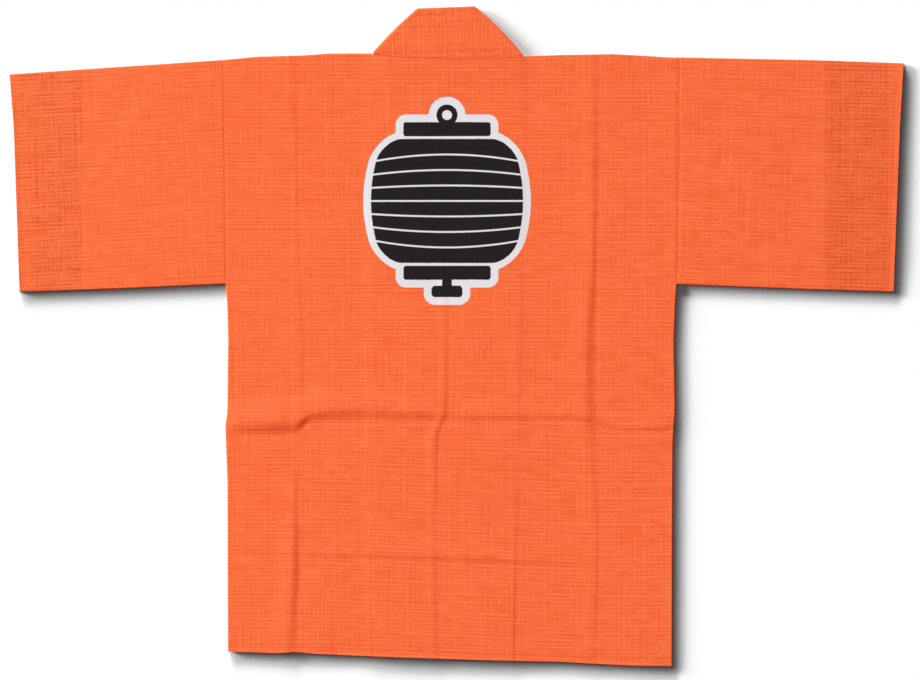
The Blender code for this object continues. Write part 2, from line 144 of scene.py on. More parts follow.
lens = bpy.data.cameras.new("camera")
lens.type = "ORTHO"
lens.ortho_scale = VIEW_WIDTH
camera = placed("camera", lens)
camera.location = VIEW_CENTRE + (CAMERA_HEIGHT,)
scene.camera = camera

# -------------------- body: the fronts
# Each front is one panel of thin slubbed cotton, lying on the table. Its shoulder and
# its side seam turn up to meet the back, and the collar is sewn along its inner edge.

WALL = 0.8                  # one layer of the cloth as it is seen
UNDER = WALL / 2            # middle of a layer on the table
OVER = 3.0 - WALL / 2       # middle of the layer above it
TURN_GAP = 0.1
TURN_RADIUS = (OVER - UNDER - TURN_GAP) / 2
TURN_REACH = TURN_RADIUS + WALL / 2
TURN_CELLS = 6
SEAM_GAP = 0.3
SLEEVE_SEAM_REACH = TURN_REACH - 0.1
WIDEST_CELL = 7.0
FRONT_CELL = 9.0
ARMPIT = 74.0
ARMPIT_TURN = 6.0
HEM_SETBACK = 1.5
HEM_TURN = 6.0              # the hem is turned in and stitched this far from its edge
SHARP_ANGLE = 48
OUTWARD = {"left": -1, "right": 1}

At = namedtuple("At", "x y")
Sides = namedtuple("Sides", "y left right")
SIDES = (
    Sides(394, -332, 317),      # shoulder
    Sides(180, -329.2, 315),
    Sides(74, -328, 312.4),     # armpit
    Sides(45, -325.8, 310.6),
    Sides(-5, -324.4, 308.6),
    Sides(-106, -325.6, 310.4),
    Sides(-128, -328.4, 308.4), # waist crease
    Sides(-150, -327.6, 307.2),
    Sides(-205, -325.6, 306.8),
    Sides(-470, -324.6, 305.8), # hem
)
HEM = (
    At(-324.6, -447.7), At(-256, -450), At(-229, -448.2), At(-200, -451), At(-82, -456.2),
    At(36, -459.9), At(147, -462.2), At(203, -465.4), At(255, -468), At(305.8, -468.5),
)
SHOULDERS = {
    "left": (At(-332, 392.3), At(-282, 397), At(-222, 398.6), At(-180, 401.6),
             At(-120.2, 401.6)),
    "right": (At(95.9, 397.5), At(147, 399.4), At(223, 400.8), At(306, 395.9),
              At(317, 396)),
}

NECK_INSET = 1.8            # the neck's seam starts this far inside the slants' feet,
NECK_BOW = 4.0              # and bows down by this much

# The collar's slanted folds, and its bands down the fronts
Slant = namedtuple("Slant", "neck top bulge")
Band = namedtuple("Band", "seam free")
SLANTS = {
    "left": Slant(At(-120.2, 401.6), At(-55.7, 465.8), 1.9),
    "right": Slant(At(95.9, 397.5), At(25.8, 468.5), 3),
}
BANDS_AT_HEM = {
    "left": Band(At(-118.8, -455), At(-54.3, -457)),
    "right": Band(At(83.6, -461), At(14.7, -459)),
}

# A crease has a row for each of some places along it: where its crest is there, how far
# it stands up, and how far it takes to rise on the lamps' side and to fall on the other
PLACE, CREST, RISE, BEFORE, AFTER = range(5)
FRONT_CREASES_DOWN = {
    "left": (
        (390, -232, 0.1, 14, 6), (0, -228, 0.35, 18, 8), (-260, -231, 0.5, 22, 9),
        (-450, -229, 0.3, 20, 8),
    ),
    "right": (
        (390, 196, 0.2, 16, 7), (40, 193, 0.45, 24, 9), (-200, 198, 0.3, 16, 7),
        (-460, 202, 0.4, 20, 8),
    ),
}
FRONT_CREASES_ACROSS = {
    "left": (
        (-326, -124, 0.5, 24, 10), (-230, -119, 0.6, 28, 11), (-120, -112, 0.3, 20, 8),
    ),
    "right": (
        (84, -115, 0.25, 18, 8), (200, -118, 0.5, 24, 9), (308, -125, 0.35, 20, 8),
    ),
}
SETTLE = 0.16               # a crease's fall goes this share of its rise too low,
SETTLE_REACH = 1.8          # and is level again this many times as far away

# Slow waves lie over all of the cloth: the random seed of each piece's, and their height
WAVES = {"fronts": (3, 0.08), "back": (11, 0.2), "sleeve_left": (21, 0.16),
         "sleeve_right": (22, 0.16), "collar": (31, 0.12)}
WAVE_COUNT = 16
SHORTEST_WAVE = 50.0
LONGEST_WAVE = 170.0
FRONT_LIFT = 0.05
FRONT_FAN = (-24, -16, -10, -6, -3, 0, 2, 4, 6, 9, 13)


def line_down(points, column="x", along="y"):
    """The line x(y) through points, or one column of a table as it changes with another."""
    ordered = sorted(points, key=lambda point: getattr(point, along))
    places = [getattr(point, along) for point in ordered]
    values = [getattr(point, column) for point in ordered]
    return lambda place: np.interp(place, places, values)


def line_across(points):
    """The line y(x) through points."""
    return line_down(points, "y", "x")


def crease_column(crease, column, place):
    """A column of a crease's table at a place along it, eased from row to row."""
    rows = np.array(sorted(crease))
    row = np.interp(place, rows[:, PLACE], range(len(rows)))
    eased = np.floor(row) + step(0, 1, row - np.floor(row))
    return np.interp(eased, range(len(rows)), rows[:, column])


def crest_of(crease):
    """The line that a crease's crest follows."""
    return lambda place: crease_column(crease, CREST, place)


def step(start, end, value):
    """A smooth step from 0 at start to 1 at end."""
    share = np.clip((value - start) / (end - start), 0, 1)
    return share * share * (3 - 2 * share)


def crease_height(crease, away, place):
    """How far a crease lifts the cloth at a distance away from its crest."""
    rise, before, after = [crease_column(crease, column, place)
                           for column in (RISE, BEFORE, AFTER)]
    fall = (1 + SETTLE) * step(0, after, away)
    fall = fall - SETTLE * step(after, SETTLE_REACH * after, away)
    return rise * (step(-before, 0, away) - fall)


def drift(x, y, piece):
    """Slow random waves, as cloth that was folded and opened again keeps."""
    seed, height = WAVES[piece]
    chance = np.random.default_rng(seed)
    total = 0 * x
    for _ in range(WAVE_COUNT):
        length = chance.uniform(SHORTEST_WAVE, LONGEST_WAVE)
        bearing = chance.uniform(0, 2 * pi)
        start = chance.uniform(0, 2 * pi)
        way = x * cos(bearing) + y * sin(bearing)
        total = total + length / LONGEST_WAVE * np.sin(2 * pi * way / length + start)
    return total * height / sqrt(WAVE_COUNT)


def shifted(line, offset):
    """The same line moved over."""
    return lambda place: line(place) + offset


def fan(line, offsets, sign=1):
    """The same line moved over by each of these offsets."""
    return [shifted(line, sign * offset) for offset in offsets]


def level_line(value):
    """The line that has one value all along."""
    return lambda place: 0 * place + value


def blended(first, second, share):
    """The line this share of the way from one line to another."""
    return lambda place: first(place) * (1 - share) + second(place) * share


def filled(lines, spacing=WIDEST_CELL, place=0.0):
    """The same lines in order, with more between any two further apart than spacing."""
    result = [lines[0]]
    for first, second in zip(lines, lines[1:]):
        count = max(1, int(np.ceil(abs(second(place) - first(place)) / spacing)))
        result += [blended(first, second, (cell + 1) / count) for cell in range(count)]
    return result


def meet(columns, rows):
    """The points where lines x(y) down the coat cross lines y(x) across it."""
    x = np.zeros((len(columns), len(rows)))
    y = np.zeros((len(columns), len(rows)))
    for _ in range(5):
        for index, row in enumerate(rows):
            y[:, index] = row(x[:, index])
        for index, column in enumerate(columns):
            x[index] = column(y[index])
    return x, y


def normals_of(points, ring=False):
    """Outward normals of a grid of points, which may close in a ring on its first axis."""
    first = np.gradient(points, axis=0)
    if ring:
        first = np.roll(points, -1, axis=0) - np.roll(points, 1, axis=0)
    normals = np.cross(first, np.gradient(points, axis=1))
    return normals / np.linalg.norm(normals, axis=2, keepdims=True)


def numbers_of(points):
    """The number of each vertex in a grid of points."""
    return np.arange(points[..., 0].size).reshape(points.shape[:2])


def quads(numbers, ring=False):
    """Faces between neighbouring numbers of a grid of vertices."""
    if ring:
        numbers = np.concatenate([numbers, numbers[:1]])
    corners = (numbers[:-1, :-1], numbers[1:, :-1], numbers[1:, 1:], numbers[:-1, 1:])
    return np.stack(corners, axis=-1).reshape(-1, 4)


def mesh_piece(name, points, faces, materials, kinds):
    """A piece from points in millimetres, with the number of each face's material."""
    mesh = bpy.data.meshes.new(name)
    mesh.from_pydata((points * MM).tolist(), [], [tuple(face) for face in faces])
    mesh.polygons.foreach_set("material_index", np.array(kinds, dtype=np.int32))
    for material in materials:
        mesh.materials.append(material)
    mesh.shade_smooth()
    mesh.set_sharp_from_angle(angle=radians(SHARP_ANGLE))
    return placed(name, mesh)


def both_sides(middle, normals):
    """The points of a layer's two sides: its outside, and then its inside."""
    return np.concatenate([(middle + normals * way * WALL / 2).reshape(-1, 3)
                           for way in (1, -1)])


def cloth_wall(name, middle, outside, inside):
    """A closed layer of cloth round a grid of middle points, outside uppermost."""
    points = both_sides(middle, normals_of(middle))
    numbers = numbers_of(middle)
    over = quads(numbers)
    under = over[:, ::-1] + numbers.size
    rim = np.concatenate([numbers[:, 0], numbers[-1, 1:], numbers[-2::-1, -1],
                          numbers[0, -2:0:-1]])
    along = np.roll(rim, -1)
    edge = np.stack([rim, rim + numbers.size, along + numbers.size, along], axis=-1)
    faces = np.concatenate([over, under, edge])
    kinds = [0] * len(over) + [1] * len(under) + [0] * len(edge)
    return mesh_piece(name, points, faces, [outside, inside], kinds)


def neck_seam(x):
    """Height y of the collar's sewn edge behind the neck."""
    left, right = SLANTS["left"].neck, SLANTS["right"].neck
    share = np.clip((x - left.x - NECK_INSET) / (right.x - left.x - 2 * NECK_INSET), 0, 1)
    return left.y * (1 - share) + right.y * share - NECK_INSET - NECK_BOW * 4 * share * (1 - share)


def band_edge(side, edge):
    """The line down one edge of a collar band: its seam or its free edge."""
    head = SLANTS[side].neck if edge == "seam" else SLANTS[side].top
    return line_down((head, getattr(BANDS_AT_HEM[side], edge)))


def panel(columns, rows, level, turned, turn):
    """Middle points of a panel whose outer edges turn to meet another layer's.

    turned gives, for left, right and top, how far that edge is turned at each point,
    from 0 to 1, or None where there is no seam. turn is 1 up and -1 down.
    """
    lanes = {side: TURN_CELLS if turned[side] else 0 for side in turned}
    columns = [columns[0]] * lanes["left"] + columns + [columns[-1]] * lanes["right"]
    rows = rows + [rows[-1]] * lanes["top"]
    x, y = meet(columns, rows)
    z = level(x, y)
    shares = [(cell + 1) / TURN_CELLS for cell in range(TURN_CELLS)]
    right_share = np.array([0] * (len(columns) - TURN_CELLS) + shares)
    left_share = right_share[::-1]
    top_share = np.array([0] * (len(rows) - TURN_CELLS) + shares)
    edges = {"left": (left_share[:, None], -1, x), "right": (right_share[:, None], 1, x),
             "top": (top_share[None, :], 1, y)}
    places = {"left": y.copy(), "right": y.copy(), "top": x.copy()}
    for side, (share, way, across) in edges.items():
        if not turned[side]:
            continue
        amount = turned[side](places[side])
        angle = share * pi / 2
        across += way * (amount * TURN_RADIUS * np.sin(angle)
                         + (1 - amount) * SLEEVE_SEAM_REACH * share)
        z = z + turn * amount * TURN_RADIUS * (1 - np.cos(angle))
    return np.stack([x, y, z], axis=-1)


def side_turn(y):
    """A panel's side is turned below the armpit, where it is a side seam."""
    return step(ARMPIT - 1, ARMPIT - ARMPIT_TURN, y)


def front_level(side):
    """The height of a front's middle over the table."""
    down, across = FRONT_CREASES_DOWN[side], FRONT_CREASES_ACROSS[side]

    def level(x, y):
        lift = crease_height(down, x - crest_of(down)(y), y)
        lift = lift + crease_height(across, crest_of(across)(x) - y, x)
        return UNDER + np.maximum(lift + FRONT_LIFT + drift(x, y, "fronts"), 0.0)
    return level


class Shade:
    """A number, a colour or a shape that nodes work out, as one of their sockets."""

    def __init__(self, tree, socket=None):
        self.tree = tree
        self.socket = socket

    def node(self, kind, inputs=None, output=0, **settings):
        """Another node of the same tree: its settings are made first."""
        made = self.tree.nodes.new(kind)
        for name, value in settings.items():
            setattr(made, name, value)
        for key, value in (inputs or {}).items():
            if isinstance(value, Shade):
                self.tree.links.new(value.socket, made.inputs[key])
            else:
                made.inputs[key].default_value = value
        return Shade(self.tree, made.outputs[output])

    def math(self, operation, *others):
        """The number that this and the others make."""
        values = dict(enumerate((self,) + others))
        return self.node("ShaderNodeMath", values, operation=operation)

    __add__ = __radd__ = partialmethod(math, "ADD")
    __sub__ = partialmethod(math, "SUBTRACT")
    __mul__ = __rmul__ = partialmethod(math, "MULTIPLY")
    __truediv__ = partialmethod(math, "DIVIDE")
    __abs__ = partialmethod(math, "ABSOLUTE")
    at_least = partialmethod(math, "MAXIMUM")
    at_most = partialmethod(math, "MINIMUM")

    def __rsub__(self, other):
        return self * -1.0 + other

    def wrapped(self, pitch):
        """How far this is past the last whole pitch."""
        return self.math("WRAP", pitch, 0.0)

    def between(self, start, end):
        """A smooth step from 0 where this is start to 1 where it is end."""
        return self.node("ShaderNodeMapRange", {"Value": self, "From Min": start,
                         "From Max": end}, interpolation_type="SMOOTHSTEP")

    def blend(self, first, second, way="MIX"):
        """The first colour where this is 0. Where it is 1, the second, or, with MULTIPLY,
        the first with the second as its tint."""
        return self.node("ShaderNodeMix", {0: self, 6: first, 7: second}, output=2,
                         data_type="RGBA", blend_type=way)


# The cloth is woven of thick and thin yarns. A thick one comes every few yarns, long and
# plain across the cloth, and shorter and in patches along it.
DARK_YARN = (0.882, 0.1225, 0.0335, 1.0)
LIGHT_YARN = (0.957, 0.1875, 0.0655, 1.0)
YARN_PITCH = 0.75
PATCH = 12.0
BLOTCH = 10.0
Slub = namedtuple("Slub", "spacing long strength wander streak seed")
WEFT_SLUB = Slub(spacing=5.32, long=34.0, strength=1.15, wander=0.8, streak=1.5, seed=7.1)
WARP_SLUB = Slub(spacing=6.1, long=15.0, strength=0.66, wander=1.6, streak=3.6, seed=4.3)
WANDER_LONG, WANDER_WIDE = 240.0, 9.0
THIN = 0.3                  # a row shows where its weight is over this
ROW, ROW_SHADE, FINE_SHADE, BLOTCH_SHADE = 1.4, 0.2, 0.3, 0.85
SLUB_RELIEF = 0.05
GRAIN_RELIEF = 0.012
WEFT_BOW = 0.04             # below the waist the weft of the body slopes by this much
WEFT_BOW_REACH = 190.0      # within this distance of the middle
WEFT_BOW_START, WEFT_BOW_FULL = -60.0, -240.0


def flat_place(start, turn=0.0):
    """Where a point of the object lies from above, x and y in millimetres, with the axes
    turned by an angle."""
    place = start.node("ShaderNodeTexCoord", output="Object")
    place = start.node("ShaderNodeMapping", {
        "Vector": place, "Scale": [1 / MM] * 3, "Rotation": (0, 0, radians(-turn))})
    return [start.node("ShaderNodeSeparateXYZ", {0: place}, output=axis) for axis in (0, 1)]


def noise(x, y, seed, detail=0.0):
    """Random values from 0 to 1 that change over a step of 1."""
    place = x.node("ShaderNodeCombineXYZ", {0: x, 1: y, 2: seed})
    return x.node("ShaderNodeTexNoise", {"Vector": place, "Scale": 1.0, "Detail": detail})


def slubs(along, over, slub, patch):
    """Rows of slubbed yarn: each row is lighter in its middle, by more or less as it goes."""
    wander = noise(along / WANDER_LONG, over / WANDER_WIDE, slub.seed + 5.0) * slub.wander
    place = over / slub.spacing + wander
    row = place.math("FLOOR")
    ridge = 0.0 - (place * (2 * pi)).math("COSINE")
    weight = noise(along / slub.long + row * 0.37, row * 3.71, slub.seed, 1.0)
    fine = noise(along / slub.long + 9.0, over / slub.streak, slub.seed + 2.0, 1.0) - 0.5
    swell = (weight - THIN).at_least(0.0) * ROW * ridge
    swell = swell + (weight - 0.5) * ROW_SHADE + fine * FINE_SHADE
    return swell * patch * slub.strength


def cloth_material(name, turn=0.0, bow=0.0, printed=None, warp=WARP_SLUB):
    """The woven cloth: its yarns turned by an angle, its weft's slope below the waist, a
    print laid over it, and its warp."""
    material, finish = plain_material(name, roughness=0.92, specular=0.03)
    tree = material.node_tree
    start = Shade(tree)
    x, y = flat_place(start, turn)
    bowed = bow * y.between(WEFT_BOW_START, WEFT_BOW_FULL)
    y = y + x.at_least(-WEFT_BOW_REACH).at_most(WEFT_BOW_REACH) * bowed

    patch = noise(x / PATCH, y / PATCH, 2.5, 1.0).between(0.36, 0.66)
    warp_patch = 0.2 + 0.6 * patch + 0.6 * noise(x / PATCH, y / PATCH, 8.5, 1.0).between(0.4, 0.66)
    blotch = noise(x / (2 * BLOTCH), y / BLOTCH, 5.5, 1.0) - 0.5
    slub = slubs(x, y, WEFT_SLUB, 0.4 + patch) + slubs(y, x, warp, warp_patch)
    slub = slub + blotch * BLOTCH_SHADE
    colour = (slub + 0.5).between(-0.05, 1.05).blend(DARK_YARN, LIGHT_YARN)
    grain = (x * (pi / YARN_PITCH)).math("SINE") * (y * (pi / YARN_PITCH)).math("SINE")
    if printed:
        colour = printed(*flat_place(start), colour, slub)
    tree.links.new(colour.socket, finish.inputs["Base Color"])
    relief = start.node("ShaderNodeBump", {
        "Strength": 1.0, "Distance": MM, "Height": slub * SLUB_RELIEF + grain * GRAIN_RELIEF})
    tree.links.new(relief.socket, finish.inputs["Normal"])
    return material


body_cloth = cloth_material("body_cloth", bow=WEFT_BOW)
stitched_lines = []         # the stitched lines: points, and whether each line is closed

for side, outward in OUTWARD.items():
    outer = shifted(line_down(SIDES, side), -outward * TURN_REACH)
    inner = shifted(band_edge(side, "seam"), outward * SEAM_GAP)
    columns = fan(crest_of(FRONT_CREASES_DOWN[side]), FRONT_FAN)
    columns = [outer] + columns + [inner] if side == "left" else [inner] + columns + [outer]
    rows = fan(line_across(HEM), (HEM_SETBACK, HEM_TURN))
    rows += fan(crest_of(FRONT_CREASES_ACROSS[side]), FRONT_FAN[::-1], -1)
    rows += [level_line(ARMPIT - ARMPIT_TURN), level_line(ARMPIT)]
    rows += [shifted(line_across(SHOULDERS[side]), -TURN_REACH)]
    turned = {"left": None, "right": None, "top": level_line(1)}
    turned[side] = side_turn
    columns, rows = filled(columns, FRONT_CELL), filled(rows, FRONT_CELL)
    middle = panel(columns, rows, front_level(side), turned, 1)
    front = cloth_wall("front_" + side + "_cloth", middle, body_cloth, body_cloth)
    stitched_lines.append((middle[3:-3, 1] - np.array([0, 0, WALL / 2]), False))
    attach(front, "root")
    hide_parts("front_" + side)

# -------------------- body: the back
# The back is one wide panel of the same cloth, lying over the fronts and the collar's
# bands. It was folded for storage, and keeps three creases down and two across.

OVER_BAND = 3.2             # middle of the back over the collar's bands
NECK_SEAM = 4.15            # and where the collar is sewn on
NECK_SEAM_GAP = 0.05
NECK_RAMP = 52.0
NECK_CORNER = 5.0
NECK_CORNER_INSIDE = 14.0
BAND_CLIMB = 16.0           # it climbs on to the left band over this distance,
BAND_SAG = 0.35             # sinks this share of the way back between the bands,
BAND_SAG_REACH = (26.0, 24.0)
DROP_EASE = 10.0            # and eases to its drop off the right one up to this far from
DROP_START = 4.0            # that one's sewn edge, and drops from this far inside it
CREASE_END = 14.0           # creases across it fade out this far from its sides
HEM_DIP = 0.35
DIP_WIDE = 8.0              # a row of stitches draws the cloth in over this distance
TURNED_IN_LIFT = 0.22       # cloth turned in behind a seam lifts the edge by this much
ALLOWANCE = 11.0            # the sleeve seam's is this wide,
ALLOWANCE_RISE = (0.6, 3.0) # and starts beside the seam between these distances
ALLOWANCE_FADE = (ALLOWANCE - 2, ALLOWANCE + 3)
SIDE_LIFT_FADE = (1.5, 8.0)
SLEEVE_SEAM_START = (ARMPIT - 4, ARMPIT + 6)
GROOVE_WIDE = 2.6
SEAM_GROOVES = (            # how far the cloth dips along each sleeve's seam
    Sides(400, 0.3, 0.7),
    Sides(190, 0.3, 0.75),
    Sides(130, 0.42, 0.75),
    Sides(74, 0.45, 0.7),
)

# How far the back takes to come down off the right band's sewn edge
BandDrop = namedtuple("BandDrop", "y width height")
BAND_DROPS = (
    BandDrop(400, 16, 0.5),
    BandDrop(30, 11, 0.6),
    BandDrop(-95, 10, 0.6),
    BandDrop(-160, 12, 0.35),
    BandDrop(-260, 6, 0.35),
    BandDrop(-320, 4, 0.45),
    BandDrop(-340, 3.4, 0.6),
    BandDrop(-460, 3.4, 0.65),
)

CREASES_DOWN = {
    "left": (
        (396, -235, 0.4, 18, 9), (328, -234, 0.45, 18, 9), (222, -229, 0.4, 18, 5),
        (108, -228, 0.3, 14, 6), (-20, -223, 0.4, 16, 8), (-95, -223, 0.4, 16, 8),
        (-140, -227, 0.1, 14, 10), (-176, -229, 0.2, 14, 8), (-232, -232, 0.75, 20, 9),
        (-332, -234, 1.85, 30, 12), (-410, -238, 1.5, 30, 13), (-440, -239, 0.9, 28, 13),
        (-456, -239, 0.5, 26, 13),
    ),
    "centre": (
        (396, -27, 0.1, 8, 4), (360, -27, 0.2, 5, 4), (200, -24, 0.2, 8, 6),
        (13, -18, 0.4, 11, 8), (-59, -18, 0.62, 11, 8), (-104, -20, 0.7, 10, 8),
        (-147, -33, 1, 14, 8), (-193, -32, 0.65, 14, 6), (-257, -33, 0.25, 12, 6),
        (-386, -34, 0.5, 14, 8), (-460, -34, 0.4, 12, 8),
    ),
    "right": (
        (396, 192, 0.45, 18, 11), (311, 192, 0.65, 20, 10), (215, 192, 1.05, 24, 10),
        (108, 190.5, 1.15, 26, 10), (16, 184, 1.75, 34, 14), (-62, 182.5, 1.55, 32, 14),
        (-108, 184, 1.2, 28, 14), (-154, 186, 0.85, 24, 15), (-190, 188, 0.75, 24, 14),
        (-261, 196, 0.5, 26, 7), (-357, 196, 0.5, 26, 6), (-420, 192, 0.4, 18, 8),
        (-468, 192, 0.4, 16, 8),
    ),
}
CREASES_ACROSS = {
    "waist": (
        (-328, -122, 2.1, 36, 18), (-302, -122, 2.5, 38, 19), (-262, -122, 3.6, 42, 20),
        (-231, -122, 2.7, 42, 17), (-205, -107, 2.5, 44, 16), (-186, -104, 3.1, 46, 18),
        (-150, -103, 2.4, 38, 18), (-123, -102, 2, 32, 17), (-52, -107, 1.8, 32, 14),
        (-18, -109, 1.1, 24, 12), (-4, -110, 0.4, 20, 10), (12, -111, 1, 22, 11),
        (46, -110.5, 1.2, 26, 11), (140, -111, 0.9, 24, 10), (186, -112, 1, 22, 10),
        (204, -120, 0.5, 18, 9), (235, -128, 0.6, 20, 9), (283, -128, 1.2, 22, 9),
        (308, -127.5, 1.4, 22, 9),
    ),
    "low": (
        (-232, -306, 0.1, 14, 8), (-190, -307, 0.65, 22, 10), (-120, -308, 0.65, 22, 10),
        (-45, -310, 1, 24, 10), (37, -313, 0.9, 24, 10), (144, -320, 0.4, 18, 8),
        (196, -321, 0, 12, 8),
    ),
    "tuck": (
        (-222, -338, 0, 8, 24), (-206, -339, 0.7, 8, 26), (-172, -338, 0.55, 8, 26),
        (-150, -338, 0, 8, 24),
    ),
}
WIDE_FAN = (-32, -26, -20, -15, -11, -8, -5.5, -3.5, -2, -0.8, 0.4, 1.6, 2.8, 4, 5.2, 6.4,
            7.6, 9, 10.6, 12.4, 14.4, 16.8, 20, 24, 28)
CLOSE_FAN = (-12, -9, -6.5, -4.5, -3, -1.5, 0, 1.2, 2.4, 3.6, 4.8, 6, 7.4, 9, 11, 13.5)
DROP_FAN = (-16, -11, -8, -6.2, -5, -4, -3.2, -2.4, -1.6, -0.8, 0.2, 1.6, 4, 8)
TUCK_FAN = (-34, -29, -25, -21, -17, -13, -10, -8, -6, -4.5, -3, -1.5, 0, 1.5, 3.5, 6, 9, 14, 20)
EDGE_FAN = (0, 0.9, 1.8, 2.8, 4, 6, 9, 14)


def top_edge(x):
    """The back's upper outline: shoulder, neck, shoulder."""
    shoulder = np.where(x < 0, line_across(SHOULDERS["left"])(x),
                        line_across(SHOULDERS["right"])(x))
    return np.where(shoulder_turn(x) > 0.5, shoulder, neck_seam(x) - NECK_SEAM_GAP)


def shoulder_turn(x):
    """The back's top is turned along the shoulders, and flat where the collar is sewn."""
    left, right = SLANTS["left"].neck.x, SLANTS["right"].neck.x
    return (step(left - 1, left - NECK_CORNER, x) + step(right + 1, right + NECK_CORNER, x))


def seam_groove(x, y, from_seam):
    """How far the cloth dips beside the nearer sleeve's seam."""
    deep = np.where(x < 0, line_down(SEAM_GROOVES, "left")(y), line_down(SEAM_GROOVES, "right")(y))
    return deep * (1 - step(-0.5, GROOVE_WIDE, from_seam))


def stitched_dip(turn, from_edge):
    """1 where the cloth is drawn in by stitches this far from its edge, and 0 well away."""
    return step(turn + DIP_WIDE, turn, from_edge) * step(0, turn, from_edge)


def back_level(x, y):
    """The height of the back's middle, over what lies below it."""
    left_seam, left_free = band_edge("left", "seam")(y), band_edge("left", "free")(y)
    right_seam, right_free = band_edge("right", "seam")(y), band_edge("right", "free")(y)
    drop_width = line_down(BAND_DROPS, "width")(y)
    drop_height = line_down(BAND_DROPS, "height")(y)
    climb = (OVER_BAND - OVER) * step(left_seam - BAND_CLIMB, left_seam - 1, x)
    between = step(left_free, left_free + BAND_SAG_REACH[0], x)
    between = between * step(right_free, right_free - BAND_SAG_REACH[1], x)
    climb = climb - (OVER_BAND - OVER) * BAND_SAG * between
    climb = climb + (drop_height + OVER - OVER_BAND) * step(right_free, right_seam - DROP_EASE, x)
    drop_start = right_seam - DROP_START
    level = OVER + climb - drop_height * step(drop_start, drop_start + drop_width, x)

    left_side, right_side = line_down(SIDES, "left")(y), line_down(SIDES, "right")(y)
    from_edge = np.minimum(x - left_side, right_side - x)
    inside = step(0, CREASE_END, from_edge)
    for crease in CREASES_DOWN.values():
        level = level + crease_height(crease, x - crest_of(crease)(y), y)
    for crease in CREASES_ACROSS.values():
        level = level + crease_height(crease, crest_of(crease)(x) - y, x) * inside
    level = level + drift(x, y, "back") * inside

    on_sleeve = step(*SLEEVE_SEAM_START, y)
    allowance = step(*ALLOWANCE_RISE, from_edge) * (1 - step(*ALLOWANCE_FADE, from_edge))
    level = level + on_sleeve * TURNED_IN_LIFT * allowance
    level = level - on_sleeve * seam_groove(x, y, from_edge)
    level = level + (1 - on_sleeve) * TURNED_IN_LIFT * (1 - step(*SIDE_LIFT_FADE, from_edge))

    level = level - HEM_DIP * stitched_dip(HEM_TURN, y - line_across(HEM)(x))

    left, right = SLANTS["left"].neck.x, SLANTS["right"].neck.x
    near_neck = step(neck_seam(x) - NECK_RAMP, neck_seam(x) - NECK_CORNER / 2, y)
    near_neck = near_neck * step(left - NECK_CORNER, left + NECK_CORNER_INSIDE, x)
    near_neck = near_neck * step(right + NECK_CORNER, right - NECK_CORNER_INSIDE, x)
    return level + (NECK_SEAM - level) * near_neck


# The print is a festival paper lantern: a barrel with ribs round it between two caps,
# with a hanging ring and a tassel, in black ink on a pale ground that shows all round
# it and in thin lines
LANTERN_PLACE = At(-13.7, 192.1)
LANTERN_INK = (0.0185, 0.0152, 0.0157, 1.0)
LANTERN_GROUND = (0.76, 0.73, 0.75, 1.0)
GROUND_BORDER = 11.0
INK_BLUR = 0.4
RAGGED = 0.5                # how far the print's edge follows the yarns
Block = namedtuple("Block", "y half_width half_height corner belly")
LANTERN_BLOCKS = (
    Block(0, 108, 88, 34, 0.17),      # barrel
    Block(102, 62, 10, 4, 0),         # cap
    Block(-102, 62, 10, 4, 0),        # cap
    Block(-117, 7, 6, 2, 0),          # cord
    Block(-128.5, 22, 8, 5, 0),       # tassel
)
RING_PLACE = 122.0
RING_RADIUS = 11.0
RING_HALF = 4.0
RIBS = range(-66, 67, 22)
RIB_BEND = 0.16             # a rib's ends lie this share of its height nearer the middle
RIB_LINE_HALF = 1.25
CAP_LINE = 90.0


def from_block(x, y, block):
    """Distance from a block with round corners, less than 0 inside it."""
    off = y - block.y
    wide = abs(x * (1.0 + off * off * (block.belly / block.half_height ** 2)))
    past_x = (wide - (block.half_width - block.corner)).at_least(0.0)
    past_y = (abs(off) - (block.half_height - block.corner)).at_least(0.0)
    return (past_x * past_x + past_y * past_y).math("SQRT") - block.corner


def lantern_print(x, y, cloth, slub):
    """The cloth's colour with the lantern printed on it."""
    x = x - LANTERN_PLACE.x
    y = y - LANTERN_PLACE.y
    off_ring = y - RING_PLACE
    distance = abs((x * x + off_ring * off_ring).math("SQRT") - RING_RADIUS) - RING_HALF
    for block in LANTERN_BLOCKS:
        distance = distance.at_most(from_block(x, y, block))
    distance = distance + slub * RAGGED
    ground = distance.between(GROUND_BORDER + INK_BLUR, GROUND_BORDER - INK_BLUR)
    from_line = abs(abs(y) - CAP_LINE)
    bow = x * x * (RIB_BEND / LANTERN_BLOCKS[0].half_width ** 2)
    for rib in RIBS:
        from_line = from_line.at_most(abs(y + bow * rib - rib))
    ink = distance.at_least(RIB_LINE_HALF - from_line).between(INK_BLUR, -INK_BLUR)
    return ink.blend(ground.blend(cloth, LANTERN_GROUND), LANTERN_INK)


printed_cloth = cloth_material("printed_cloth", bow=WEFT_BOW, printed=lantern_print)

columns = fan(shifted(line_down(SIDES, "left"), TURN_REACH), EDGE_FAN)
columns += fan(crest_of(CREASES_DOWN["left"]), WIDE_FAN)
columns += fan(band_edge("left", "seam"), (-16, -12, -8, -4, 0))
columns += fan(band_edge("left", "free"), (0, 5))
columns += fan(crest_of(CREASES_DOWN["centre"]), CLOSE_FAN)
columns += fan(band_edge("right", "free"), (-6, 0))
columns += fan(band_edge("right", "seam"), DROP_FAN)
columns += fan(crest_of(CREASES_DOWN["right"]), WIDE_FAN)
columns += fan(shifted(line_down(SIDES, "right"), -TURN_REACH), EDGE_FAN[::-1], -1)

